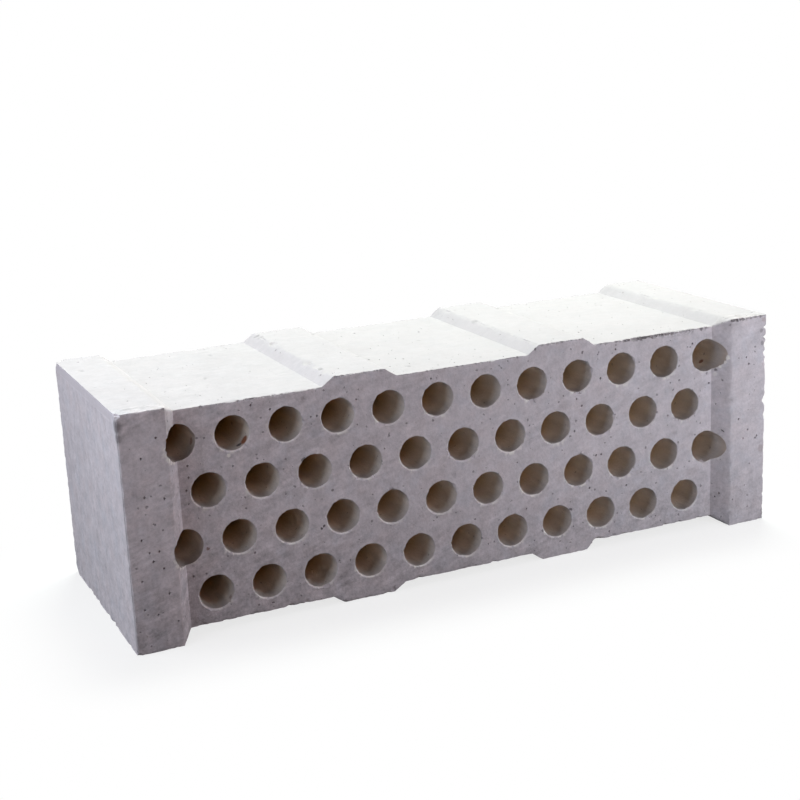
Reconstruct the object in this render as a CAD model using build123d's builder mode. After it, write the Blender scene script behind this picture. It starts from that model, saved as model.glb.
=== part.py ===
"""Perforated refractory checker brick: one fired piece, standing on its long side.

Millimetres, +Z up. X runs along the brick, Y along its flues, and the origin is on the
floor at the middle of the footprint.
"""

import os

from build123d import *

# Overall size
length = 460
depth = 160
height = 150

# End blocks, which stand proud of the flued body at the front, the top and the bottom
end_block = 29.5
corner_radius = 1

# Sloped shoulders of the end blocks and ribs, and how deep the channels between them are
ramp_run = 8
face_recess = 12
rib_height = 5.5

# Ribs across the top and the bottom, level with the end blocks
rib_count = 2
rib_width = 35

# Flues in staggered rows, with the walls left between them
flue_diameter = 22
flue_wall = 12.5
row_wall = 11
flue_shift = -2

# The body between the shoulders, shared into equal channels by the ribs
face_length = length - 2 * (end_block + ramp_run)
body_height = height - 2 * rib_height
rib_base = rib_width + 2 * ramp_run
channel_floor = (face_length - rib_count * rib_base) / (rib_count + 1)
channel_pitch = channel_floor + rib_base
mid_height = height / 2

# A long row fills the face and cuts into both shoulders; every second row is one flue shorter
flue_pitch = flue_diameter + flue_wall
row_pitch = flue_diameter + row_wall
long_row = int(face_length / flue_pitch) + 1
row_count = int((body_height - flue_diameter) / row_pitch) + 1
top_row = mid_height + row_pitch * (row_count - 1) / 2


def channel_corners(floor, cut):
    """Corners of a channel in an edge that faces +X: its mouth is a ramp wider at each side."""
    mouth = floor + 2 * ramp_run
    return [(0, -mouth / 2), (0, mouth / 2), (-cut, floor / 2), (-cut, -floor / 2)]


def upright_plane(x, z):
    """Plane of the front view, with its origin moved along and up the brick."""
    return Plane((x, 0, z), x_dir=(1, 0, 0), z_dir=(0, -1, 0))


with BuildPart() as checker_brick:
    # Front view: shallow channels along the top and the bottom leave the ribs and end blocks
    with BuildSketch(upright_plane(0, mid_height)):
        Rectangle(length, height)
        with PolarLocations(height / 2, 2, start_angle=90):
            with GridLocations(1, channel_pitch, 1, rib_count + 1):
                Polygon(*channel_corners(channel_floor, rib_height), align=None, mode=Mode.SUBTRACT)
    extrude(amount=depth / 2, both=True)

    # Plan: the front face lies back between the end blocks, the back is flat, the corners are rounded
    with BuildSketch() as plan:
        Rectangle(length, depth)
        ends = plan.vertices().group_by(Axis.X)
        fillet(ends[0] + ends[-1], radius=corner_radius)
        with Locations(Location((0, -depth / 2, 0), (0, 0, -90))):
            Polygon(*channel_corners(face_length, face_recess), align=None, mode=Mode.SUBTRACT)
    extrude(amount=height, mode=Mode.INTERSECT)

    # Flues, straight through from the front face to the back face
    for row in range(row_count):
        with Locations(upright_plane(flue_shift, top_row - row * row_pitch)):
            with GridLocations(flue_pitch, row_pitch, long_row - row % 2, 1):
                Hole(flue_diameter / 2)

checker_brick.part.label = "checker_brick"
os.makedirs("parts", exist_ok=True)
export_step(checker_brick.part, "parts/checker_brick.step")
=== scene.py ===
"""Fired refractory checker brick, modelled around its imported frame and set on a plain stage.

A welded cube of grids is drawn out to the brick's sections and bored by its flues, and then
worn, chipped and pitted. All sizes are in metres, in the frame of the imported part: X along the
brick, Y along the flues from the front face to the back face, Z up, with the origin on the
floor under the middle.
"""

import math
import random

import bmesh
import bpy
from mathutils import Matrix, Quaternion, Vector, noise
from mathutils.kdtree import KDTree


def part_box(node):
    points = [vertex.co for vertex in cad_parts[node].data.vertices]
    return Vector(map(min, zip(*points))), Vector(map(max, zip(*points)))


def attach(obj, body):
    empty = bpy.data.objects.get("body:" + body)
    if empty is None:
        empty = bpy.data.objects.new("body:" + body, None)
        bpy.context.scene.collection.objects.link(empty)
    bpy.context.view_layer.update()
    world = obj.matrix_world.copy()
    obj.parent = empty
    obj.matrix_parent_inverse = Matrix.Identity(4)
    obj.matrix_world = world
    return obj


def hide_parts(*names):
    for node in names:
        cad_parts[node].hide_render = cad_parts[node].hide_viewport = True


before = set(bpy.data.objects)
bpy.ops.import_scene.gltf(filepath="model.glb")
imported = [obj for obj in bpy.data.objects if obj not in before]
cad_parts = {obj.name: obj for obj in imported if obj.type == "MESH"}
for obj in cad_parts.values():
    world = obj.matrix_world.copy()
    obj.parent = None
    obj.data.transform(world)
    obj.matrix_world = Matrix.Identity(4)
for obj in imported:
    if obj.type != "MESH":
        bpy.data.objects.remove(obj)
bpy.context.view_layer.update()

bl_info = {
    "name": "Checker Brick",
    "version": (1, 0, 0),
    "blender": (4, 5, 0),
    "location": "3D View > Sidebar > Brick",
    "description": "Builds a worn refractory checker brick and the stage that it stands on",
    "category": "Add Mesh",
}

NODE = "checker_brick"
BRICK_LOW, BRICK_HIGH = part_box(NODE)
# Marks that the finish reads: a chip tone below 0 and the pit mark carry painted shade, the rim mark a
# painted highlight
MARKS = ("chip", "pit", "flue", "rim", "sill")
MM = 0.001

# How finely the body and the flues are meshed
CELLS_ALONG_FLUE = 44
CELLS_UPRIGHT = 66
FLUE_SEGMENTS = 44
FINE_STEP = 0.8 * MM

# Planes of the brick that the lists below refer to, in millimetres
FACE_RECESS = 12
RIB_HEIGHT = 5.5
FRONT = round(BRICK_LOW.y / MM, 3)
FLUED = FRONT + FACE_RECESS
BACK = round(BRICK_HIGH.y / MM, 3)
TOP = round(BRICK_HIGH.z / MM, 3)
CHANNEL = TOP - RIB_HEIGHT

# Pores that stand out on the real brick: x, y, z in millimetres
SEEN_PITS = (
    (207, FRONT, 78), (211, FRONT, 64), (224, FRONT, 62), (213, FRONT, 121), (216, FRONT, 117),
    (-208, FRONT, 132), (-218, FRONT, 121), (-217, FRONT, 98), (-206, FRONT, 95), (-221, FRONT, 73),
    (-217, FRONT, 64), (-212, FRONT, 63), (-209, FRONT, 52), (-223, FRONT, 47), (-224, FRONT, 29),
    (-216, FRONT, 24), (-207, FRONT, 36), (-204, FRONT, 17), (-187, FLUED, 110), (-159, FLUED, 105),
    (-184, FLUED, 98), (-186, FLUED, 94), (-188, FLUED, 38), (-181, FLUED, 39), (-150, FLUED, 47),
    (-131, FLUED, 133), (-100, FLUED, 127), (-77, FLUED, 131), (84, FLUED, 110), (87, FLUED, 103),
    (97, FLUED, 67), (102, FLUED, 66), (123, FLUED, 42), (185, FLUED, 30), (91, FLUED, 45),
    (160, FLUED, 85), (193, FLUED, 104), (195, -71, 89), (194, -70, 21), (195, -72, 18),
    (196, -73, 23), (-92, 26, 149), (-93, -52, 148),
)

# Spots that stand out on the real brick: x, y, z and radius in millimetres, colour and strength; some are
# painted highlight or painted shade, as marked below
SEEN_SPOTS = (
    ((-148.5, -63.5, 117.5), 4.0, "rust", 0.95),
    ((-152, -62.5, 115), 2.4, "pore_and_shade", 0.95),
    ((-181, -61.5, 122), 3.0, "rust", 0.5),
    ((-160.5, FLUED, 111), 1.6, "crust_and_highlight", 1.0),
    ((-178, FLUED, 54.5), 1.5, "iron", 0.7),
    ((-165.5, -65, 19.5), 2.0, "iron", 0.45),
    ((194.5, -53, 116), 2.4, "rust", 0.8),
    ((199, -77.5, 123), 2.2, "crust_and_highlight", 1.0),
    ((198, -76, 119.5), 1.6, "crust_and_highlight", 0.9),
    ((196, -73, 116), 1.4, "crust_and_highlight", 0.8),
    # Painted highlight in crust colour: the pale lower left lips of the flues that cut the left shoulder
    ((-195.5, -72.5, 113.5), 1.7, "crust_and_highlight", 0.9),
    ((-198.5, -76.5, 115), 1.7, "crust_and_highlight", 0.95),
    ((-200.5, -79.5, 118), 2.2, "crust_and_highlight", 0.95),
    ((-201.5, FRONT, 121), 1.9, "crust_and_highlight", 0.8),
    ((-202, FRONT, 125), 1.7, "crust_and_highlight", 0.7),
    ((-200.5, -79.5, 129), 1.5, "crust_and_highlight", 0.6),
    ((-195.5, -72.5, 47.5), 1.7, "crust_and_highlight", 0.8),
    ((-198.5, -76.5, 49), 1.6, "crust_and_highlight", 0.8),
    ((-200.5, -79.5, 52), 2.0, "crust_and_highlight", 0.85),
    ((-202, FRONT, 55), 1.7, "crust_and_highlight", 0.7),
    ((-103.5, FLUED, 53), 1.2, "pore_and_shade", 0.9),
    ((-102, FLUED, 54.5), 1.2, "pore_and_shade", 0.9),
    ((-94.5, FLUED, 77), 1.3, "pore_and_shade", 0.7),
    ((194.5, -70.5, 113.5), 1.4, "pore_and_shade", 0.7),
    ((194, -70, 110.5), 1.9, "crust_and_highlight", 0.5),
    ((227, FRONT, 53.5), 3.4, "iron", 0.22),
    # Painted shade: the pore-coloured spots on the rounded, notched front corners
    ((-229.5, -78, 142.5), 5.0, "pore_and_shade", 0.55),
    ((-229.5, -78.5, 135.5), 3.4, "pore_and_shade", 0.45),
    ((229, -78.5, 141.5), 2.2, "pore_and_shade", 0.6),
    ((228.5, -78.5, 134), 2.6, "pore_and_shade", 0.5),
    ((227.5, -79, 146.5), 2.4, "rust", 0.25),
    ((226.5, FRONT, 130), 2.0, "pore_and_shade", 0.4),
    ((225.5, FRONT, 139), 1.8, "pore_and_shade", 0.35),
)

# Painted shade along crumbled stretches of the arrises and along the foot of the front left block: x from and
# to, y, z and reach in millimetres, and strength
SEEN_EDGE_SHADE = (
    (99, 122, FLUED, CHANNEL, 1.6, 0.6),
    (122, 159, FLUED, CHANNEL, 2.6, 1.0),
    (159, 181, FLUED, CHANNEL, 1.8, 0.5),
    (201, 213, FRONT, TOP, 2.8, 1.0),
    (213, 230, FRONT, TOP, 1.8, 0.6),
    (-190, -165, FLUED, CHANNEL, 1.2, 0.3),
    (-165, -99, FLUED, CHANNEL, 1.7, 0.8),
    (-46, 46, FLUED, CHANNEL, 1.4, 0.5),
    (-91, -55, FLUED, TOP, 1.5, 0.55),
    (55, 91, FLUED, TOP, 1.5, 0.55),
    (-208, -200, BACK, TOP, 1.8, 0.7),
    (-191, -177, BACK, CHANNEL, 1.8, 0.7),
    (150, 178, FLUED, CHANNEL, 5.0, 0.4),
    (-208, -200, FRONT, 0, 1.8, 0.9),
    (-229, -224, FRONT, 0, 1.8, 0.8),
)

# Notches up the right front corner: height of the middle, half height and depth in millimetres
SEEN_NOTCHES = (
    (1, 5, 0.7), (33, 5, 1.1), (41.5, 3, 0.7), (51.5, 6, 0.9), (63, 5, 0.7), (76, 5, 0.6),
    (88.5, 4.5, 2.7), (96, 6, 0.8), (122.5, 3.5, 2.4), (134, 2.5, 2.3), (141, 2.3, 2.5),
)

# Chips that stand out on the rims of the front, by the number of the flue from the top left:
# angle and half width in radians, and size in millimetres
SEEN_RIM_CHIPS = {
    0: ((2.6, 0.12, 1.0), (3.1, 0.1, 1.3), (3.5, 0.12, 0.9), (0.2, 0.15, 0.8)),
    1: ((-0.75, 0.2, 0.7), (-2.0, 0.25, 0.5)),
    20: ((0.1, 0.14, 1.5), (-0.2, 0.08, 0.9)),
    31: ((1.4, 0.2, 1.2),),
    23: ((-2.2, 0.25, 0.9),),
}

# Crust that narrows a flue where it cuts into a front shoulder, in the same way
SEEN_LIPS = {0: (3.5, 1.0, 1.6), 23: (3.6, 0.9, 1.2)}
NO_LIP = (0.0, 1.0, 0.0)

# Random chips and blowholes: sizes and depths in millimetres, and tones from painted shade below 0 to freshly
# broken above 0
SMALL_CHIP = ((1.5, 3.0), (0.45, 1.0), (-0.6, 1.0))
LARGE_CHIP = ((3.2, 6.5), (0.9, 1.9), (-0.2, 1.0))
BLOWHOLE = ((1.3, 2.4), (0.6, 1.0), (-0.3, -0.2))

# Three sorts of open pore: share of all pores up to this sort, width and depth in millimetres
PIT_SORTS = ((0.45, 0.45, 0.35), (0.8, 0.68, 0.6), (1.0, 0.98, 0.9))

# Where the worn rim of a flue is widest, and the painted highlight of pale crust on it strongest: the lower
# left
RIM_WEAR_AND_HIGHLIGHT_ANGLE = math.radians(245)

# Lamps: name, place, point lit, width and height in metres, power in watts, and colour
MIDDLE = (0.0, 0.0, 0.07)
LAMPS = (
    ("top_softbox", (0.337, 0.551, 1.196), MIDDLE, (0.8, 0.5), 23.2, (0.90, 1.0, 0.91)),
    ("fill_softbox", (0.273, -1.263, 0.426), MIDDLE, (0.4, 0.4), 1.4, (1.0, 0.52, 0.40)),
    ("near_softbox", (0.325, -0.445, 0.14), (0.2, -0.07, 0.08), (0.3, 0.3), 1.2, (0.83, 0.92, 1.0)),
    ("right_softbox", (1.363, -0.253, 0.517), (-0.1, -0.07, 0.08), (0.25, 0.4), 3.9, (1.0, 0.89, 0.92)),
    ("left_softbox", (-0.65, -0.115, 0.402), MIDDLE, (0.65, 0.65), 3.6, (0.87, 0.92, 1.0)),
)


def count_prop(name, description, default):
    """A whole number that the user can change."""
    return bpy.props.IntProperty(
        name=name, description=description, default=default, min=0, subtype="UNSIGNED"
    )


def angle_prop(name, description, degrees):
    """An angle that the user can change."""
    return bpy.props.FloatProperty(
        name=name, description=description, default=math.radians(degrees), subtype="ANGLE", unit="ROTATION"
    )


def length_prop(name, description, default):
    """A distance in metres that the user can change."""
    return bpy.props.FloatProperty(
        name=name, description=description, default=default, min=0.0, subtype="DISTANCE", unit="LENGTH"
    )


def colour_prop(name, description, default):
    """A linear colour that the user can change."""
    return bpy.props.FloatVectorProperty(
        name=name, description=description, default=default, size=3, min=0.0, max=1.0, subtype="COLOR"
    )


class BrickSizes(bpy.types.PropertyGroup):
    """Sizes of the pressed shape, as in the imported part."""

    end_block: length_prop("End block", "Width of an end block's bearing face", 29.5 * MM)
    corner_radius: length_prop("Corner radius", "Round of the four upright corners", 1 * MM)
    ramp_run: length_prop("Ramp run", "Run of every sloped shoulder along the brick", 8 * MM)
    face_recess: length_prop("Face recess", "Depth of the front face behind the end blocks", FACE_RECESS * MM)
    rib_height: length_prop("Rib height", "Height of ribs and end blocks over the channels", RIB_HEIGHT * MM)
    rib_width: length_prop("Rib width", "Width of a rib's flat top", 35 * MM)
    flue_diameter: length_prop("Flue diameter", "Bore of a flue", 22 * MM)
    flue_wall: length_prop("Flue wall", "Wall between two flues of a row", 12.5 * MM)
    row_wall: length_prop("Row wall", "Wall between two rows of flues", 11 * MM)
    flue_shift: bpy.props.FloatProperty(
        name="Flue shift",
        description="How far the field of flues sits off the middle of the brick",
        default=-2 * MM,
        subtype="DISTANCE",
        unit="LENGTH",
    )


class BrickWear(bpy.types.PropertyGroup):
    """How rough, chipped and pitted the fired brick is."""

    seed: count_prop("Seed", "Seed of every random choice", 41)
    mesh_step: length_prop("Mesh step", "Spacing of the mesh along the brick", 2.05 * MM)
    arris_wear: length_prop("Arris wear", "Most that an arris is worn back", 0.9 * MM)
    unevenness: length_prop("Unevenness", "Most that a flat face dips", 0.35 * MM)
    rim_wear: length_prop("Rim wear", "Usual width of the worn rim of a flue", 0.4 * MM)
    burr: length_prop("Burr", "Most that a flue's rim stands up from its face", 0.4 * MM)
    small_chips: count_prop("Small chips", "Small chips on the arrises", 190)
    large_chips: count_prop("Large chips", "Large chips on the arrises", 26)
    blowholes: count_prop("Blowholes", "Wide hollows in the faces", 34)
    pits: count_prop("Pits", "Open pores in the faces", 640)


class BrickColours(bpy.types.PropertyGroup):
    """Linear colours of the fired body."""

    body: colour_prop("Body", "Fired body", (0.640, 0.590, 0.622))
    cool: colour_prop("Cool patches", "Bluish mottling of the body", (0.595, 0.580, 0.630))
    warm: colour_prop("Warm patches", "Pinkish mottling of the body", (0.660, 0.585, 0.605))
    fracture: colour_prop("Fracture", "Fresh broken body in chips", (0.720, 0.665, 0.665))
    # Dark inside of open pores, also used as painted shade in chips, crumbled arrises, pits and on the front
    # corners
    pore_and_shade: colour_prop("Pores", "Inside of open pores", (0.090, 0.075, 0.080))
    iron: colour_prop("Iron spots", "Rust-brown iron spots", (0.160, 0.060, 0.028))
    rust: colour_prop("Rust", "Loose rust in the flues", (0.250, 0.090, 0.045))
    # Pale crust, used for crumbs and fractures and as a painted highlight on the rims and lips of the flues
    crust_and_highlight: colour_prop("Crust", "Pale crust on the rims of the flues", (0.900, 0.860, 0.830))
    # Flue walls: lip and mouth darkened as painted shade where the lamps light them directly, the wall
    # further in paler than the body as painted light
    flue_lip: colour_prop("Flue lip", "Flue wall where it cuts into a shoulder", (0.560, 0.470, 0.415))
    flue_mouth: colour_prop("Flue mouth", "Flue wall at its mouth", (0.630, 0.565, 0.545))
    flue_wall: colour_prop("Flue wall", "Flue wall further in", (0.880, 0.780, 0.690))
    flue_deep: colour_prop("Flue middle", "Flue wall in the middle of the brick", (0.740, 0.540, 0.250))


class StageSettings(bpy.types.PropertyGroup):
    """Camera, lamps and floor."""

    lens: bpy.props.FloatProperty(
        name="Lens",
        description="Focal length in millimetres",
        default=67.16,
        subtype="DISTANCE_CAMERA",
        unit="CAMERA",
    )
    azimuth: angle_prop("Azimuth", "Turn of the view to the right of +Y", 24.14)
    elevation: angle_prop("Elevation", "Height of the camera over the horizon", 15.15)
    roll: angle_prop("Roll", "Turn of the camera about its own axis", -2.61)
    distance: length_prop("Distance", "From the camera to the point that it aims at", 1.01775)
    aim: bpy.props.FloatVectorProperty(
        name="Aim",
        description="Point at the middle of the picture",
        default=(-0.01532, 0.0, 0.10788),
        subtype="XYZ",
        unit="LENGTH",
    )
    floor: colour_prop("Floor", "Pale floor", (0.92, 0.92, 0.92))
    bounce_near: colour_prop("Bounce near", "Light thrown back beside the brick", (0.02, 0.02, 0.02))
    bounce_far: colour_prop("Bounce far", "Light thrown back further out", (0.04, 0.038, 0.039))
    shadow_reach: length_prop("Shadow reach", "How far from the brick its shadow shows", 0.08)
    sky: bpy.props.FloatProperty(
        name="Sky",
        description="Strength of the even light from all round",
        default=0.008,
        min=0.0,
        subtype="FACTOR",
    )
    sky_tint: colour_prop("Sky tint", "Colour of the even light from all round", (1.0, 0.89, 0.94))


class BrickSettings(bpy.types.PropertyGroup):
    """Everything that the panel shows."""

    sizes: bpy.props.PointerProperty(type=BrickSizes)
    wear: bpy.props.PointerProperty(type=BrickWear)
    colours: bpy.props.PointerProperty(type=BrickColours)
    stage: bpy.props.PointerProperty(type=StageSettings)


class Flow:
    """One output of a shader node. Sums and products of flows and numbers add Math nodes."""

    def __init__(self, tree, socket):
        self.tree = tree
        self.socket = socket

    def node(self, kind, settings=None, inputs=None, output=0):
        """Add a node, set its own settings first, then its sockets, and return one of its outputs."""
        added = self.tree.nodes.new(kind)
        for name, value in (settings or {}).items():
            setattr(added, name, value)
        for key, value in (inputs or {}).items():
            if isinstance(value, Flow):
                self.tree.links.new(value.socket, added.inputs[key])
            else:
                added.inputs[key].default_value = value
        return Flow(self.tree, added.outputs[output] if added.outputs else None)

    def math(self, operation, first, second=0.0):
        return self.node("ShaderNodeMath", {"operation": operation}, {0: first, 1: second})

    def __add__(self, other):
        return self.math("ADD", self, other)

    def __radd__(self, other):
        return self.math("ADD", other, self)

    def __sub__(self, other):
        return self.math("SUBTRACT", self, other)

    def __rsub__(self, other):
        return self.math("SUBTRACT", other, self)

    def __mul__(self, other):
        return self.math("MULTIPLY", self, other)

    def __rmul__(self, other):
        return self.math("MULTIPLY", other, self)

    def __truediv__(self, other):
        return self.math("DIVIDE", self, other)

    def __lt__(self, other):
        return self.math("LESS_THAN", self, other)

    def __abs__(self):
        return self.math("ABSOLUTE", self)

    def ramp(self, low, high):
        """0 below low, 1 above high and a smooth rise between them; falls where low is above high."""
        return self.node(
            "ShaderNodeMapRange",
            {"interpolation_type": "SMOOTHSTEP"},
            {"Value": self, "From Min": low, "From Max": high},
        )

    def at_least(self, other):
        return self.math("MAXIMUM", self, other)

    def plain(self, colour):
        """One colour, to begin a chain of mixes."""
        return self.node("ShaderNodeRGB").with_value((*colour, 1.0))

    def with_value(self, value):
        self.socket.default_value = value
        return self

    def mix(self, other, factor):
        """This colour turning into another one by a factor."""
        ends = {"Factor": factor, 6: self, 7: as_colour(other)}
        return self.node("ShaderNodeMix", {"data_type": "RGBA"}, ends, 2)

    def scaled(self, factor):
        """This colour or vector, times a value."""
        return self.node("ShaderNodeVectorMath", {"operation": "SCALE"}, {0: self, "Scale": factor})

    def part(self, axis):
        """The X, Y or Z of a vector."""
        return self.node("ShaderNodeSeparateXYZ", None, {0: self}, axis)

    def clouds(self, size, detail=3.0, rough=0.55, shift=0.0, stretch=(1, 1, 1), turn=0.0):
        """Noise of a given size at these coordinates, drawn out along the axes after a turn about Y."""
        turned = self.node(
            "ShaderNodeMapping",
            {"vector_type": "TEXTURE"},
            {"Vector": self, "Location": (shift, shift, shift), "Rotation": (0, turn, 0), "Scale": stretch},
        )
        look = {"Vector": turned, "Scale": 1 / size, "Detail": detail, "Roughness": rough}
        return self.node("ShaderNodeTexNoise", None, look)

    def bent(self, size, most):
        """These coordinates, pushed about by a noise of a given size."""
        look = {"Vector": self, "Scale": 1 / size, "Detail": 2.0}
        push = self.node("ShaderNodeTexNoise", None, look, "Color")
        steps = {0: push, 1: (most,) * 3, 2: self}
        return self.node("ShaderNodeVectorMath", {"operation": "MULTIPLY_ADD"}, steps)

    def spots(self, cell, radius, share, shift):
        """Round spots at these coordinates in a share of the cells of a scatter, each of its own size."""
        shifts = {0: self.bent(cell / 2.4, 0.4 * cell), 1: (shift, 2 * shift, 3 * shift)}
        moved = self.node("ShaderNodeVectorMath", {"operation": "ADD"}, shifts)
        scatter = {"Vector": moved, "Scale": 1 / cell}
        away = self.node("ShaderNodeTexVoronoi", None, scatter)
        chance = self.node("ShaderNodeTexVoronoi", None, scatter, "Color").part("X")
        size = chance * (radius / cell / share)
        return (1 - (away / size).ramp(0.5, 1.0)) * (chance < share)


def as_colour(value):
    """A colour socket takes four numbers; a flow is passed on as it is."""
    return value if isinstance(value, Flow) else (*value, 1.0)


def new_material(name):
    """A material with an empty node tree, and a flow to start its graph from."""
    material = bpy.data.materials.new(name)
    material.use_nodes = True
    material.node_tree.nodes.clear()
    return material, Flow(material.node_tree, None)


def new_object(name, bm):
    """Finish a bmesh as an object at the origin."""
    mesh = bpy.data.meshes.new(name)
    bm.to_mesh(mesh)
    bm.free()
    made = bpy.data.objects.new(name, mesh)
    bpy.context.scene.collection.objects.link(made)
    return made


def between(keys, step):
    """The keys in order, with evenly spread values between them at most a step apart."""
    values = []
    for low, high in zip(keys, keys[1:]):
        count = max(1, math.ceil((high - low) / step - 1e-6))
        values += [low + (high - low) * i / count for i in range(count)]
    return values + [keys[-1]]


def along(x, keys):
    """Straight-line value at x of a list of (x, value) keys that is sorted by x."""
    for (x0, v0), (x1, v1) in zip(keys, keys[1:]):
        if x <= x1:
            return v0 + (v1 - v0) * max(0.0, (x - x0) / (x1 - x0))
    return keys[-1][1]


class BrickShape:
    """The pressed shape, worked out from the sizes: its section along X and its field of flues."""

    def __init__(self, sizes):
        self.half_length = BRICK_HIGH.x
        self.half_depth = BRICK_HIGH.y
        self.half_height = BRICK_HIGH.z / 2
        self.radius = sizes.flue_diameter / 2
        self.corner = sizes.corner_radius
        self.block_line = self.half_length - sizes.end_block
        self.shoulder_line = self.block_line - sizes.ramp_run
        self.body_depth = self.half_depth - sizes.face_recess
        self.body_height = self.half_height - sizes.rib_height
        rib_base = sizes.rib_width + 2 * sizes.ramp_run
        channel = (2 * self.shoulder_line - 2 * rib_base) / 3
        rib_middle = (channel + rib_base) / 2
        self.rib_lines = (rib_middle - sizes.rib_width / 2, rib_middle + sizes.rib_width / 2)
        self.rib_feet = (rib_middle - rib_base / 2, rib_middle + rib_base / 2)
        self.flues = self.flue_axes(sizes)
        self.finder = KDTree(len(self.flues))
        for i, (x, z) in enumerate(self.flues):
            self.finder.insert((x, 0, z), i)
        self.finder.balance()

    def flue_axes(self, sizes):
        """(x, z) of each flue, row by row from the top, every second row one flue shorter."""
        pitch = sizes.flue_diameter + sizes.flue_wall
        row_pitch = sizes.flue_diameter + sizes.row_wall
        long_row = int(2 * self.shoulder_line / pitch) + 1
        rows = int((2 * self.body_height - sizes.flue_diameter) / row_pitch) + 1
        axes = []
        for row in range(rows):
            count = long_row - row % 2
            z = self.half_height + row_pitch * ((rows - 1) / 2 - row)
            axes += [(sizes.flue_shift + pitch * (i - (count - 1) / 2), z) for i in range(count)]
        return axes

    def face_at(self, side):
        """How far the flued face at the front (side below 0) or at the back lies from the middle."""
        return self.body_depth if side < 0 else self.half_depth

    def depth_in(self, y):
        """How far y lies inside the nearer one of the two flued faces."""
        return min(y + self.body_depth, self.half_depth - y)

    def depth_at(self, x, side):
        """Depth of the section at x to one side: recessed at the front only, rounded at the ends."""
        x = abs(x)
        round_start = self.half_length - self.corner
        if x > round_start:
            rise = math.sqrt(max(0.0, self.corner**2 - (x - round_start) ** 2))
            return self.half_depth - self.corner + rise
        return along(x, [(self.shoulder_line, self.face_at(side)), (self.block_line, self.half_depth)])

    def height_at(self, x):
        """Half the height of the section at x: raised at the ribs and the end blocks."""
        low, high = self.body_height, self.half_height
        keys = [
            (self.rib_feet[0], low),
            (self.rib_lines[0], high),
            (self.rib_lines[1], high),
            (self.rib_feet[1], low),
            (self.shoulder_line, low),
            (self.block_line, high),
        ]
        return along(abs(x), keys)

    def stations(self, step, fine):
        """Where the section is drawn along X: lines of the shape, a fine step beside them, and between."""
        rounds = [self.corner * (1 - math.sin(math.radians(angle))) for angle in (90, 60, 35, 15, 0)]
        half = [0.0, *self.rib_feet, *self.rib_lines, self.shoulder_line, self.block_line]
        half += [line + side * fine for line in (*self.rib_lines, self.block_line) for side in (-1, 1)]
        half += [self.half_length - r for r in rounds]
        half = sorted(half)
        return between([-x for x in reversed(half[1:])] + half, step)

    def is_sound(self, point):
        """Is this at the top of the front or at the left end, where every chip is listed one by one?"""
        at_left = point.x < -self.shoulder_line
        at_top = point.z > 2 * self.body_height - 10 * MM
        in_front = point.y < -self.body_depth + 5 * MM
        return at_left and (at_top or in_front) or at_top and in_front

    def from_axis(self, point):
        """Distance from a point to the axis of the nearest flue."""
        return self.finder.find((point.x, 0, point.z))[2]


def graded(u):
    """Draw the lines of a unit grid together towards its two edges."""
    return u * 1.28 - 0.28 * u**3


def pressed_body(shape, step):
    """The brick without its flues: six grids welded to a cube, then drawn out to the brick's sections."""
    bm = bmesh.new()
    xs = shape.stations(step, FINE_STEP)
    along_x = len(xs) - 1
    facing_x = Matrix(((0, 0, 1), (1, 0, 0), (0, 1, 0))).to_4x4()
    facing_y = Matrix(((1, 0, 0), (0, 0, 1), (0, 1, 0))).to_4x4()
    for turn, columns, rows in (
        (facing_x, CELLS_ALONG_FLUE, CELLS_UPRIGHT),
        (facing_y, along_x, CELLS_UPRIGHT),
        (Matrix.Identity(4), along_x, CELLS_ALONG_FLUE),
    ):
        for side in (-1, 1):
            place = turn @ Matrix.Translation((0, 0, side))
            bmesh.ops.create_grid(bm, x_segments=columns, y_segments=rows, size=1.0, matrix=place)
    bmesh.ops.remove_doubles(bm, verts=bm.verts[:], dist=1e-4)
    for v in bm.verts:
        v.co.x = xs[round((v.co.x + 1) / 2 * along_x)]
        v.co.y = graded(v.co.y) * shape.depth_at(v.co.x, v.co.y)
        v.co.z = shape.half_height + graded(v.co.z) * shape.height_at(v.co.x)
    bmesh.ops.recalc_face_normals(bm, faces=bm.faces[:])
    return bm


def bulge(angle, middle, half_width, size):
    """A swelling round a circle, at its full size at the middle angle and gone half a width away from it."""
    off = (angle - middle + math.pi) % math.tau - math.pi
    return size * max(0.0, 1 - (off / half_width) ** 2)


def rim_wear(angle, x, z, wear, chips):
    """(width, depth) of the worn rim of a flue at an angle: uneven all round, wider where it is chipped."""
    swing = noise.noise(Vector((math.cos(angle) * 2.2 + x * 900, math.sin(angle) * 2.2, z * 900)))
    fine = noise.noise(Vector((math.cos(angle) * 7 + x * 500, math.sin(angle) * 7 + 30, z * 500)))
    lower = max(0.0, math.cos(angle - RIM_WEAR_AND_HIGHLIGHT_ANGLE))
    width = wear * (0.65 + 1.7 * lower + 0.4 * swing + (0.5 + 1.1 * lower) * fine)
    for chip in chips:
        width += bulge(angle, *chip)
    width = max(width, 0.12 * MM)
    return width, 0.3 * MM + 0.8 * width


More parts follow.
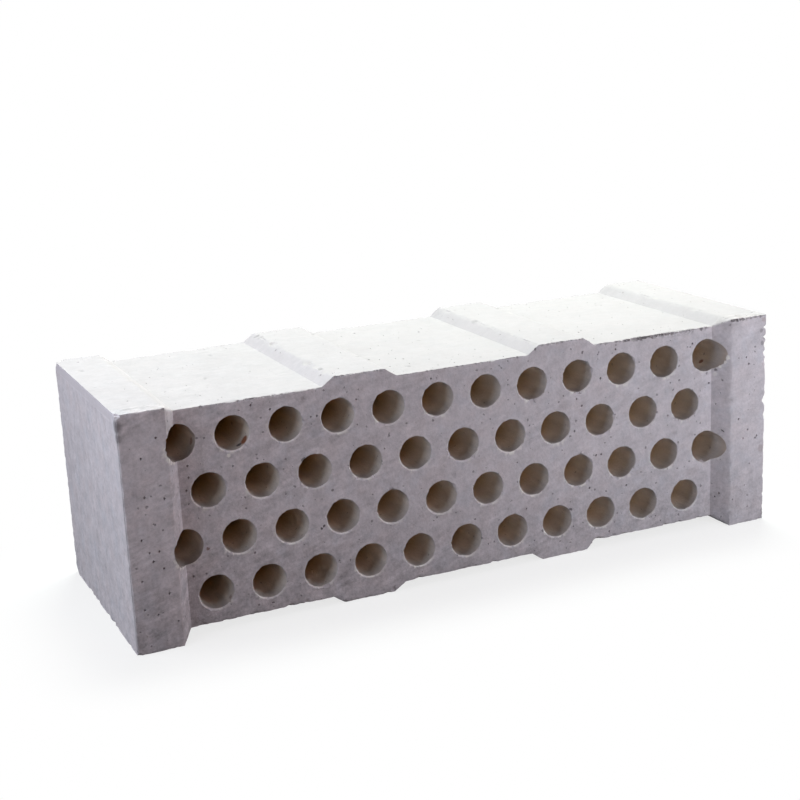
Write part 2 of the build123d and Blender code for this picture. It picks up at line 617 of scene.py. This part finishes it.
def flue_plug(bm, shape, x, z, wear, seen, lip, rng):
    """A closed plug the shape of one flue, drawn from the front to the back ring by ring."""
    cuts_shoulder = abs(x) + shape.radius > shape.shoulder_line
    upright = Matrix.Translation((x, 0, z)) @ Matrix.Rotation(math.radians(90), 4, "X")
    disc = bmesh.ops.create_circle(
        bm, cap_ends=True, segments=FLUE_SEGMENTS, radius=shape.radius, matrix=upright
    )
    ring = disc["verts"]
    rim = ring[0].link_faces[0].edges[:]
    rings = []
    for side in (-1, 1):
        chips = [
            (rng.uniform(0, math.tau), rng.uniform(0.1, 0.28), rng.uniform(0.3, 1.1) * MM)
            for _ in range(rng.choice((0, 0, 1, 1, 2, 3)))
        ]
        if side < 0:
            chips += [(angle, half, size * MM) for angle, half, size in seen]
        face_line = shape.face_at(side)
        past = (shape.half_depth + 3 * MM) if side < 0 and cuts_shoulder else (face_line + 2 * MM)
        stack = [("mouth", past), ("throat", face_line)]
        stack += [("wall", face_line - inside) for inside in (4 * MM, 17 * MM)]
        stack = [(kind, side * y, chips) for kind, y in stack]
        rings += stack if side < 0 else stack[::-1]
    for number, (kind, y, chips) in enumerate(rings):
        if number:
            drawn = bmesh.ops.extrude_edge_only(bm, edges=rim)["geom"]
            ring = [g for g in drawn if isinstance(g, bmesh.types.BMVert)]
            rim = [g for g in drawn if isinstance(g, bmesh.types.BMEdge) and g.is_boundary]
        side = math.copysign(1, y)
        on_shoulder = side < 0 and cuts_shoulder
        for v in ring:
            angle = math.atan2(v.co.z - z, v.co.x - x)
            width, depth = rim_wear(angle, x, z + side, wear, chips)
            radius, at = shape.radius, y
            if kind == "wall":
                radius += 0.16 * MM * noise.noise(Vector((v.co.x, y, v.co.z)) * 90)
            elif on_shoulder:
                radius += 0.6 * width - bulge(angle, *lip) * MM
                at = y if kind == "mouth" else y - side * 1.5 * MM
            elif kind == "mouth":
                radius += width * (1 + (abs(y) - shape.face_at(side)) / depth)
            else:
                at = y - side * depth
                radius += 0.6 * MM * max(0.0, noise.noise(v.co * 420 + Vector((side, 0, 0))))
            v.co = (x + radius * math.cos(angle), at, z + radius * math.sin(angle))
    bmesh.ops.contextual_create(bm, geom=rim)


def bore_flues(body, shape, wear, rng):
    """Take a plug out of the body for each flue, and return the bored body as a bmesh."""
    bm = bmesh.new()
    for number, (x, z) in enumerate(shape.flues):
        seen = SEEN_RIM_CHIPS.get(number, ())
        flue_plug(bm, shape, x, z, wear.rim_wear, seen, SEEN_LIPS.get(number, NO_LIP), rng)
    bmesh.ops.recalc_face_normals(bm, faces=bm.faces[:])
    solid = new_object("body_blank", body)
    plugs = new_object("flue_plugs", bm)
    cut = solid.modifiers.new("Flues", "BOOLEAN")
    cut.operation = "DIFFERENCE"
    cut.solver = "EXACT"
    cut.object = plugs
    bored = bmesh.new()
    bored.from_object(solid, bpy.context.evaluated_depsgraph_get())
    for used in (solid, plugs):
        mesh = used.data
        bpy.data.objects.remove(used)
        bpy.data.meshes.remove(mesh)
    bmesh.ops.triangulate(bored, faces=[f for f in bored.faces if len(f.verts) > 4])
    return bored


def is_arris(edge, least=math.radians(24)):
    """Does the brick turn a convex corner along this edge?"""
    return len(edge.link_faces) == 2 and edge.calc_face_angle_signed() > least


def wear_arrises(bm, shape, wear):
    """Wear the arrises back unevenly, and let the flat faces dip a little, always into the brick."""
    bm.normal_update()
    arris = {v for e in bm.edges if is_arris(e) for v in e.verts}
    beside = {e.other_vert(v) for v in arris for e in v.link_edges} - arris
    moves = []
    for v in bm.verts:
        in_flue = shape.depth_in(v.co.y) > 0.3 * MM and shape.from_axis(v.co) < shape.radius + 1 * MM
        uneven = 0.5 + 0.32 * noise.noise(v.co * 22) + 0.25 * noise.noise(v.co * 95 + Vector((7, 3, 1)))
        dip = wear.unevenness * max(0.0, uneven)
        if in_flue:
            dip = 0.0
        elif shape.from_axis(v.co) < shape.radius + 1.3 * MM:
            dip -= wear.burr * max(0.0, 0.1 + 1.4 * noise.noise(v.co * 330))
        elif v in arris:
            broad = max(0.0, 0.35 + 0.9 * noise.noise(v.co * 60))
            fine = max(0.0, 0.25 + 1.1 * noise.noise(v.co * 420))
            dip += wear.arris_wear * min(1.0, 0.16 + 0.45 * broad + 0.6 * fine * (0.4 + broad))
        elif v in beside:
            dip += 0.22 * wear.arris_wear * max(0.0, 0.3 + noise.noise(v.co * 300))
        moves.append((v, v.normal * -dip))
    for v, move in moves:
        v.co += move


def tree_of(verts):
    """A search tree over the places of some vertices."""
    tree = KDTree(len(verts))
    for i, v in enumerate(verts):
        tree.insert(v.co, i)
    tree.balance()
    return tree


class Bite:
    """A rough sphere that bites into the mesh from outside."""

    def __init__(self, place, normal, size, depth, tone):
        self.middle = place + normal * (size - depth) * MM
        self.size = size * MM
        # A tone above 0 is fresh fracture; below 0 it is painted shade in the bite
        self.tone = tone


def refine_near(bm, bites, least):
    """Halve the edges that lie inside any of the bites, where they are longer than the least length."""
    bm.edges.index_update()
    verts = bm.verts[:]
    tree = tree_of(verts)
    edges = {}
    for bite in bites:
        inside = {verts[i] for _, i, _ in tree.find_range(bite.middle, bite.size * 1.3)}
        for v in inside:
            for e in v.link_edges:
                if e.other_vert(v) in inside and e.calc_length() > least:
                    edges[e.index] = e
    edges = [edges[i] for i in sorted(edges)]
    bmesh.ops.subdivide_edges(bm, edges=edges, cuts=1, use_grid_fill=True)


def refine(bm, inside, least):
    """Halve the edges longer than a least length whose ends lie inside a region, twice over."""
    for _ in range(2):
        edges = [e for e in bm.edges if e.calc_length() > least and all(inside(v.co) for v in e.verts)]
        bmesh.ops.subdivide_edges(bm, edges=edges, cuts=1, use_grid_fill=True)


def press_bites(bm, bites, mark):
    """Press the mesh back to the bites, and mark what they touch with their tone: fresh fracture above 0,
    painted shade below 0.
    """
    verts = bm.verts[:]
    tree = tree_of(verts)
    for bite in bites:
        for _, i, _ in tree.find_range(bite.middle, bite.size * 1.2):
            v = verts[i]
            out = v.co - bite.middle
            reach = bite.size * (1 + 0.14 * noise.noise(v.co * 650) + 0.08 * noise.noise(v.co * 1700))
            if 1e-6 < out.length < reach:
                v.co = bite.middle + out * (reach / out.length)
                v[mark] = bite.tone


def chip_arrises(bm, shape, wear, rng):
    """Chips along the arrises, at random and as seen on the real brick, and blowholes in the faces."""
    mark = bm.verts.layers.float.new("chip")
    bm.normal_update()
    outer = [v for v in bm.verts if any(is_arris(e) for e in v.link_edges)]
    outer = [v for v in outer if shape.from_axis(v.co) > shape.radius + 3 * MM]
    flat = [v for v in bm.verts if shape.from_axis(v.co) > shape.radius + 3 * MM]
    plain = [v for v in outer if not shape.is_sound(v.co)]
    bites = []
    for verts, count, ranges in (
        (plain, wear.small_chips, SMALL_CHIP),
        (plain, wear.large_chips, LARGE_CHIP),
        (flat, wear.blowholes, BLOWHOLE),
    ):
        for _ in range(count):
            v = rng.choice(verts)
            bites.append(Bite(v.co, v.normal, *(rng.uniform(*span) for span in ranges)))
    tree = tree_of(outer)
    for place, *chip in seen_chips(shape):
        v = outer[tree.find(place)[1]]
        bites.append(Bite(v.co, v.normal, *chip))
    bites += seen_teeth(bm, shape, rng)
    refine_near(bm, bites, 0.9 * MM)
    refine_near(bm, [bite for bite in bites if bite.size < 1.8 * MM], 0.5 * MM)
    press_bites(bm, bites, mark)


def wear_corner(bm, shape):
    """Take the right front corner back to a ragged line, notched as on the real brick."""
    outward = Vector((0.9, -0.44, 0)).normalized()
    axis = Vector((shape.half_length - shape.corner, shape.corner - shape.half_depth, 0))

    refine(bm, lambda place: (place - axis).xy.length < shape.corner + 2.5 * MM, 0.8 * MM)
    for v in bm.verts:
        ragged = 0.5 * noise.noise(v.co * 600) + 0.35 * noise.noise(v.co * 1500)
        z = v.co.z / MM
        notch = max(depth * (1 - abs(z - middle) / half) for middle, half, depth in SEEN_NOTCHES)
        limit = shape.corner - max(0.0, max(0.0, notch) + ragged) * MM
        off = (v.co - axis).dot(outward)
        if off > limit:
            v.co += (limit - off) * outward


def seen_chips(shape):
    """(place in metres, size and depth in millimetres, tone) of the chips seen on the real brick; a tone
    below 0 is painted shade, as at the foot of the front left corner.
    """
    left = -shape.half_length
    front, back = -shape.half_depth, shape.half_depth
    top = 2 * shape.half_height
    chips = [
        ((left, back, top), 9.0, 4.0, 0.3),
        ((left, back, 0), 7.0, 2.6, 0.1),
        ((left, front, top), 6.0, 1.9, 0.2),
        ((left, front, 0), 2.0, 0.7, -0.7),
    ]
    left_arris = [(128, 1.5), (117, 1.2), (103, 1.4), (88, 1.2), (63, 1.5), (40, 1.3), (27, 1.4)]
    chips += [((left, front, z * MM), size, 0.25 * size, -0.15) for z, size in left_arris]
    return chips


def seen_teeth(bm, shape, rng):
    """The top arris of the front, bitten to irregular teeth with painted shade in them, most of all at the
    right.
    """
    top = 2 * shape.half_height
    body_top = shape.half_height + shape.body_height
    # y and z in metres, x from and to in millimetres, number and size of the bites, and strength of their
    # painted shade
    stretches = (
        (-shape.body_depth, body_top, 99, 122, 16, 1.4, 0.6),
        (-shape.body_depth, body_top, 122, 158, 44, 2.1, 1.0),
        (-shape.body_depth, body_top, 158, 190, 16, 1.5, 0.7),
        (-shape.body_depth, body_top, -180, -99, 20, 1.3, 0.45),
        (-shape.body_depth, body_top, -46, 46, 24, 1.3, 0.5),
        (-shape.body_depth, top, -92, -56, 20, 1.4, 0.6),
        (-shape.body_depth, top, 56, 90, 14, 1.4, 0.5),
        (-shape.half_depth, top, 201, 213, 16, 1.8, 1.0),
        (-shape.half_depth, top, 213, 229, 12, 1.5, 0.6),
        (-shape.half_depth, top, -226, -201, 8, 1.3, 0.3),
        (shape.half_depth, top, -206, -200, 5, 1.8, 0.9),
        (shape.half_depth, body_top, -192, -178, 9, 1.6, 0.9),
    )

    def on_stretch(place):
        x = place.x / MM
        return any(
            low < x < high and abs(place.y - y) < 2.6 * MM and abs(place.z - z) < 2.6 * MM
            for y, z, low, high, *_ in stretches
        )

    refine(bm, on_stretch, 0.65 * MM)
    bites = []
    for y, z, low, high, count, size, bite_shade in stretches:
        outward = Vector((0, math.copysign(0.85, y), 0.53))
        for _ in range(count):
            width = size * rng.uniform(0.5, 1.25)
            place = Vector((rng.uniform(low, high) * MM, y, z - rng.uniform(0.0, 0.9) * MM))
            depth = width * rng.uniform(0.4, 0.75)
            bites.append(Bite(place, outward, width, depth, -bite_shade * rng.uniform(0.3, 1.0)))
    return bites


def open_pits(bm, shape, wear, rng):
    """Open pores in the flat faces: a corner of the mesh cut off to a small facet that is pushed in."""
    mark = bm.verts.layers.float.new("pit")
    bm.normal_update()
    flat = [
        v
        for v in bm.verts
        if len(v.link_edges) == 4
        and all(len(f.verts) == 4 for f in v.link_faces)
        and min(v.normal.dot(f.normal) for f in v.link_faces) > 0.99
        and min(e.calc_length() for e in v.link_edges) > 1.2 * MM
        and shape.from_axis(v.co) > shape.radius + 2 * MM
        and abs(v.co.x) < shape.half_length - 1 * MM
    ]
    tree = tree_of(flat)
    seen = [flat[tree.find(Vector(place) * MM)[1]] for place in SEEN_PITS]
    kept = {}
    for v in seen + rng.sample(flat, min(wear.pits, len(flat))):
        if v not in kept and not any(e.other_vert(v) in kept for e in v.link_edges):
            kept[v] = True
    kept = list(kept)[::-1]
    for share, width, sink in PIT_SORTS:
        batch = [v for i, v in enumerate(kept) if i < share * len(kept)]
        kept = [v for v in kept if v not in set(batch)] if share < 1 else []
        made = bmesh.ops.bevel(
            bm,
            geom=batch,
            offset=width * MM,
            offset_type="OFFSET",
            affect="VERTICES",
            segments=1,
            profile=0.5,
            material=-1,
            clamp_overlap=True,
        )["faces"]
        bmesh.ops.inset_individual(
            bm, faces=made, thickness=0.2 * width * MM, depth=-sink * MM, use_even_offset=True
        )
        # The pit mark sets how strong the painted shade in each pit is
        for face in made:
            strength = rng.uniform(0.3, 1.0)
            for v in face.verts:
                v[mark] = strength
                v.co += Vector([rng.uniform(-0.28, 0.28) * width * MM for _ in range(3)])


def shade_faces(bm, sharp=math.radians(31)):
    """Smooth shading everywhere but along the edges that turn sharply."""
    for face in bm.faces:
        face.smooth = True
    for edge in bm.edges:
        edge.smooth = len(edge.link_faces) == 2 and edge.calc_face_angle() < sharp


def mark_flues(bm, shape):
    """Mark the walls of the flues, how low each part of them lies, and the pale crust on their rims, a
    painted highlight strongest at the lower left.
    """
    wall = bm.loops.layers.float.new("flue")
    sill = bm.loops.layers.float.new("sill")
    rim = bm.verts.layers.float.new("rim")
    for face in bm.faces:
        axis = shape.finder.find((face.verts[0].co.x, 0, face.verts[0].co.z))[0]
        if shape.from_axis(face.calc_center_median()) < shape.radius + 0.6 * MM and abs(face.normal.y) < 0.3:
            for loop in face.loops:
                loop[wall] = 1.0
                loop[sill] = max(0.0, (axis.z - loop.vert.co.z) / shape.radius)
    for v in bm.verts:
        axis, _, away = shape.finder.find((v.co.x, 0, v.co.z))
        if abs(away - shape.radius - 0.3 * MM) < 0.6 * MM and shape.depth_in(v.co.y) < 1.2 * MM:
            angle = math.atan2(v.co.z - axis.z, v.co.x - axis.x)
            # Painted highlight: pale crust where a rounded rim would catch the light, strongest at the lower
            # left
            side = 0.35 + 0.65 * math.cos(angle - RIM_WEAR_AND_HIGHLIGHT_ANGLE)
            v[rim] = max(0.0, side * (0.75 + 0.9 * noise.noise(v.co * 260)))


def keep_inside(bm):
    """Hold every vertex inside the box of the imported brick."""
    for v in bm.verts:
        v.co = [min(max(value, low), high) for value, low, high in zip(v.co, BRICK_LOW, BRICK_HIGH)]


class FiredPattern:
    """What the finish is mixed from: places on the brick, marks of its mesh, and noises of many sizes."""

    def __init__(self, start, shape):
        place = start.node("ShaderNodeTexCoord", output="Object")
        self.place = place
        self.x, self.y, self.z = (place.part(axis) for axis in "XYZ")
        self.chip, self.pit, self.flue, self.rim, self.sill = (
            start.node("ShaderNodeAttribute", {"attribute_name": mark}, None, "Fac") for mark in MARKS
        )

        # How far inside the nearer flued face, then 1 on the end faces and 1 on the upper surface
        channel = shape.half_height + shape.body_height
        self.depth = start.math("MINIMUM", self.y + shape.body_depth, shape.half_depth - self.y)
        self.end = abs(self.x).ramp(shape.half_length - 0.9 * MM, shape.half_length - 0.4 * MM)
        self.upper = self.z.ramp(channel - 2 * MM, channel - 0.5 * MM) * self.depth.ramp(0.0, 1.5 * MM)

        self.broad = place.clouds(55 * MM, detail=3)
        self.patches = place.clouds(24 * MM, detail=2, rough=0.5, shift=8.6).ramp(0.4, 0.62)
        self.tint = place.clouds(15 * MM, detail=3, rough=0.6, shift=9.2)
        self.mottle = place.clouds(8 * MM, detail=4, rough=0.62, shift=3.1)
        self.streaks = place.clouds(6 * MM, detail=4, rough=0.6, shift=4.4, stretch=(1, 8, 1))
        slant = math.radians(-17)
        self.drag = place.clouds(4.2 * MM, detail=3, rough=0.6, shift=7.3, stretch=(3.6, 1, 0.8), turn=slant)
        self.grain = place.clouds(1.9 * MM, detail=3, rough=0.65, shift=5.7)
        self.crumble = place.clouds(1.6 * MM, detail=2, rough=0.6, shift=6.1)

        self.specks = place.spots(4.6 * MM, radius=1.2 * MM, share=0.42, shift=0.3) * (1 - 0.8 * self.end)
        self.pores = place.spots(12 * MM, radius=1.6 * MM, share=0.4, shift=1.7) * (1 - 0.85 * self.end)
        self.iron = place.spots(40 * MM, radius=1.3 * MM, share=0.3, shift=2.9)
        self.flue_iron = place.spots(30 * MM, radius=1.9 * MM, share=0.35, shift=4.1)

        # How much of the mottling and the relief shows: less on the end faces and on the upper surface
        self.rough = (1 - 0.35 * self.end) * (1 - 0.75 * self.upper)


def body_colour(start, look, colours):
    """Mottled body, fresh in some chips and dark in its pores, with painted shade in other chips, in its
    pits, at its foot and beside its front left corner, and a painted highlight of pale crust on the rims of
    its flues.
    """
    tinted = 0.5 - 0.4 * look.upper
    body = start.plain(colours.body)
    body = body.mix(colours.cool, look.tint.ramp(0.5, 0.7) * tinted)
    body = body.mix(colours.warm, look.tint.ramp(0.5, 0.32) * tinted)

    # The mottling is strongest at the left and low down, and painted shade darkens the foot of the brick
    marked = 0.75 + 0.5 * look.x.ramp(20 * MM, -180 * MM) + 0.3 * look.z.ramp(60 * MM, 10 * MM)
    tone = 0.66 * (look.mottle - 0.5) + 0.44 * (look.grain - 0.5)
    tone = tone + (0.2 + 0.45 * look.patches) * (look.drag - 0.5)
    foot_shade = 0.15 * look.z.ramp(75 * MM, 8 * MM) * (1 - look.end)
    tone = 0.12 * (look.broad - 0.5) + look.rough * marked * tone - foot_shade

    # Painted shade on the left end beside the front corner, where a rounder arris would turn from the light
    corner = look.end * (look.x < 0) * look.y.ramp((FRONT + 3.2) * MM, (FRONT + 0.4) * MM)
    corner_shade = 0.35 * corner * (0.6 + 0.8 * look.crumble)
    body = body.scaled((1 + tone) * (1 - corner_shade))

    for colour, strength in (
        (colours.fracture, 0.6 * look.chip.at_least(0.0)),
        # Painted shade in chips and bites whose tone is below 0
        (colours.pore_and_shade, 0.85 * (-1 * look.chip).at_least(0.0)),
        # Painted highlight: pale crust on the rims of the flues
        (colours.crust_and_highlight, 0.85 * look.rim),
        (colours.pore_and_shade, look.specks * (0.5 - 0.4 * look.upper)),
        (colours.pore_and_shade, look.pores * (0.65 - 0.45 * look.upper)),
        # Painted shade in the pits, beyond what their own hollows give
        (colours.pore_and_shade, look.pit * (0.6 - 0.35 * look.upper)),
        (colours.iron, 0.6 * look.iron),
    ):
        body = body.mix(colour, strength)
    return body


def flue_colour(start, look, colours):
    """Flue walls from the mouth inward, streaked along the flue, dusty low down and spotted with iron. The
    lip and the mouth are darker, painted shade where the lamps light them directly, and the wall further in
    is paler than the body, painted light.
    """
    inner = look.depth + 9 * MM * (look.streaks - 0.5)
    wall = start.plain(colours.flue_lip)
    wall = wall.mix(colours.flue_mouth, look.depth.ramp(-9 * MM, 4 * MM))
    wall = wall.mix(colours.flue_wall, inner.ramp(-1 * MM, 13 * MM))
    wall = wall.mix(colours.flue_deep, inner.ramp(14 * MM, 50 * MM))

    # Dust low in each flue near its mouth, and painted shade all round the first flue of the lowest row
    dust_and_shade = 0.36 * look.sill * inner.ramp(20 * MM, 5 * MM)
    dust_and_shade = dust_and_shade.at_least(0.12 * look.x.ramp(-150 * MM, -175 * MM) * look.z.ramp(42 * MM, 32 * MM))
    streaked = 1 + 0.35 * (look.streaks - 0.5) + 0.2 * (look.grain - 0.5)
    wall = wall.scaled(streaked * (1 - dust_and_shade))
    return wall.mix(colours.iron, 0.8 * look.flue_iron).mix(colours.pore_and_shade, 0.3 * look.specks)


def with_seen_marks(base, look, colours):
    """This colour, with the spots that stand out on the real brick, some of them painted highlight or shade,
    and painted shade along its crumbled arrises.
    """
    push = 1.6 * MM
    bent = look.place.bent(1 / 700, push)
    for middle, size, shade, strength in SEEN_SPOTS:
        centre = tuple(value * MM + push / 2 for value in middle)
        away = base.node("ShaderNodeVectorMath", {"operation": "DISTANCE"}, {0: bent, 1: centre}, "Value")
        base = base.mix(getattr(colours, shade), away.ramp(size * MM, 0.5 * size * MM) * strength)

    # Painted shade along the crumbled arrises
    fade = 2
    crumbled = look.crumble.ramp(0.42, 0.56)
    for low, high, y, z, reach, strength in SEEN_EDGE_SHADE:
        after = look.x.ramp((low - fade) * MM, (low + fade) * MM)
        before = look.x.ramp((high + fade) * MM, (high - fade) * MM)
        away = abs(look.y - y * MM) + abs(look.z - z * MM)
        near = away.ramp(reach * MM, 0.25 * reach * MM) * crumbled
        base = base.mix(colours.pore_and_shade, after * before * near * strength)
    return base


def fired_finish(shape, colours):
    """Pale fired body, warmer inside the flues, with a fine relief of grain, drag marks and pores."""
    material, start = new_material("fired_refractory_finish")
    look = FiredPattern(start, shape)
    base = body_colour(start, look, colours).mix(flue_colour(start, look, colours), look.flue)
    base = with_seen_marks(base, look, colours)

    height = 0.5 * look.grain + (0.15 + 0.25 * look.patches) * look.drag + 0.35 * look.mottle
    height = height - 0.5 * look.specks - 0.8 * look.pores
    relief = {"Strength": 1.0, "Distance": 0.55 * MM, "Height": height * look.rough}
    surface = {
        "Base Color": base,
        "Roughness": 0.84 + 0.12 * look.grain,
        "Normal": start.node("ShaderNodeBump", None, relief),
        "Specular IOR Level": 0.22,
    }
    finish = start.node("ShaderNodeBsdfPrincipled", None, surface)
    start.node("ShaderNodeOutputMaterial", None, {"Surface": finish})
    return material


class CHECKERBRICK_OT_brick(bpy.types.Operator):
    """Build the fired brick: pressed shape, flues, wear, chips, pits and finish"""

    bl_idname = "checker_brick.brick"
    bl_label = "Fired Brick"
    bl_options = {"REGISTER", "UNDO"}

    def execute(self, context):
        settings = context.scene.checker_brick
        wear = settings.wear
        rng = random.Random(wear.seed)
        shape = BrickShape(settings.sizes)
        bm = bore_flues(pressed_body(shape, wear.mesh_step), shape, wear, rng)
        wear_arrises(bm, shape, wear)
        chip_arrises(bm, shape, wear, rng)
        wear_corner(bm, shape)
        open_pits(bm, shape, wear, rng)
        keep_inside(bm)
        bm.normal_update()
        mark_flues(bm, shape)
        shade_faces(bm)
        brick = new_object("fired_brick", bm)
        brick.data.materials.append(fired_finish(shape, settings.colours))
        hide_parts(NODE)
        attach(brick, "root")
        return {"FINISHED"}


def add_lamp(name, place, aim, size, power, colour):
    """A soft square lamp at a place, turned towards the point that it lights."""
    data = bpy.data.lights.new(name, "AREA")
    data.shape = "RECTANGLE"
    data.size, data.size_y = size
    data.energy = power
    data.color = colour
    lamp = bpy.data.objects.new(name, data)
    lamp.location = place
    lamp.visible_camera = False
    lamp.rotation_euler = (Vector(aim) - Vector(place)).to_track_quat("-Z", "Y").to_euler()
    bpy.context.scene.collection.objects.link(lamp)


def light_paths(start):
    """1 for rays from the camera, and for mirrored and refracted ones, 0 for the light on the brick."""
    kinds = ("Is Camera Ray", "Is Glossy Ray", "Is Transmission Ray")
    seen = [start.node("ShaderNodeLightPath", None, None, kind) for kind in kinds]
    return seen[0].at_least(seen[1]).at_least(seen[2])


def floor_finish(stage):
    """Pale floor: a weak shadow beside the brick, plain white beyond, and little light thrown back up."""
    material, start = new_material("pale_floor_finish")
    seen = light_paths(start)
    place = start.node("ShaderNodeTexCoord", output="Object")
    beside_x = (abs(place.part("X")) - BRICK_HIGH.x).at_least(0.0)
    beside_y = (abs(place.part("Y")) - BRICK_HIGH.y).at_least(0.0)
    away = start.math("SQRT", beside_x * beside_x + beside_y * beside_y)
    bounce = start.plain(stage.bounce_near).mix(stage.bounce_far, away.ramp(0.06, 0.4))
    lit = start.node("ShaderNodeBsdfDiffuse", None, {"Color": bounce.mix(stage.floor, seen)})
    white = start.node("ShaderNodeEmission", None, {"Color": (1, 1, 1, 1)})
    plain = seen * (0.76 + 0.24 * away.ramp(0.0, stage.shadow_reach))
    surface = start.node("ShaderNodeMixShader", None, {0: plain, 1: lit, 2: white})
    start.node("ShaderNodeOutputMaterial", None, {"Surface": surface})
    return material


def white_surround(sky, colour):
    """Even light from all round that the camera sees as plain white."""
    world = bpy.data.worlds.new("white_surround")
    world.use_nodes = True
    world.node_tree.nodes.clear()
    start = Flow(world.node_tree, None)
    light = start.node("ShaderNodeBackground", None, {"Color": (*colour, 1.0), "Strength": sky})
    white = start.node("ShaderNodeBackground", None, {"Color": (1, 1, 1, 1), "Strength": 1.0})
    surface = start.node("ShaderNodeMixShader", None, {0: light_paths(start), 1: light, 2: white})
    start.node("ShaderNodeOutputWorld", None, {"Surface": surface})
    bpy.context.scene.world = world


class CHECKERBRICK_OT_stage(bpy.types.Operator):
    """Build the stage: pale floor, soft lamps, white surround and camera"""

    bl_idname = "checker_brick.stage"
    bl_label = "Plain Stage"
    bl_options = {"REGISTER", "UNDO"}

    def execute(self, context):
        stage = context.scene.checker_brick.stage
        bm = bmesh.new()
        bmesh.ops.create_grid(bm, x_segments=1, y_segments=1, size=6.0)
        floor = new_object("pale_floor", bm)
        floor.data.materials.append(floor_finish(stage))

        for lamp in LAMPS:
            add_lamp(*lamp)
        white_surround(stage.sky, stage.sky_tint)

        data = bpy.data.cameras.new("photo_camera")
        data.lens = stage.lens
        data.sensor_width = 36.0
        camera = bpy.data.objects.new("photo_camera", data)
        level = math.cos(stage.elevation)
        ahead = (math.sin(stage.azimuth) * level, math.cos(stage.azimuth) * level, -math.sin(stage.elevation))
        ahead = Vector(ahead)
        camera.location = Vector(stage.aim) - ahead * stage.distance
        turned = ahead.to_track_quat("-Z", "Y") @ Quaternion((0, 0, 1), stage.roll)
        camera.rotation_euler = turned.to_euler()
        context.scene.collection.objects.link(camera)
        context.scene.camera = camera
        context.scene.view_settings.view_transform = "Standard"
        return {"FINISHED"}


class CHECKERBRICK_PT_panel(bpy.types.Panel):
    """Sizes, wear and colours of the brick, and the buttons that build it"""

    bl_idname = "CHECKERBRICK_PT_panel"
    bl_label = "Checker Brick"
    bl_space_type = "VIEW_3D"
    bl_region_type = "UI"
    bl_category = "Brick"

    def draw(self, context):
        settings = context.scene.checker_brick
        for title, group in (
            ("Sizes", settings.sizes),
            ("Wear", settings.wear),
            ("Colours", settings.colours),
            ("Stage", settings.stage),
        ):
            box = self.layout.box()
            box.label(text=title)
            for name in group.bl_rna.properties.keys():
                if name not in ("rna_type", "name"):
                    box.prop(group, name)
        self.layout.operator(CHECKERBRICK_OT_brick.bl_idname)
        self.layout.operator(CHECKERBRICK_OT_stage.bl_idname)


CLASSES = (
    BrickSizes,
    BrickWear,
    BrickColours,
    StageSettings,
    BrickSettings,
    CHECKERBRICK_OT_brick,
    CHECKERBRICK_OT_stage,
    CHECKERBRICK_PT_panel,
)


def register():
    for cls in CLASSES:
        bpy.utils.register_class(cls)
    bpy.types.Scene.checker_brick = bpy.props.PointerProperty(type=BrickSettings)


def unregister():
    del bpy.types.Scene.checker_brick
    for cls in reversed(CLASSES):
        bpy.utils.unregister_class(cls)


def main():
    register()
    bpy.ops.checker_brick.brick()
    bpy.ops.checker_brick.stage()


if __name__ == "__main__":
    main()
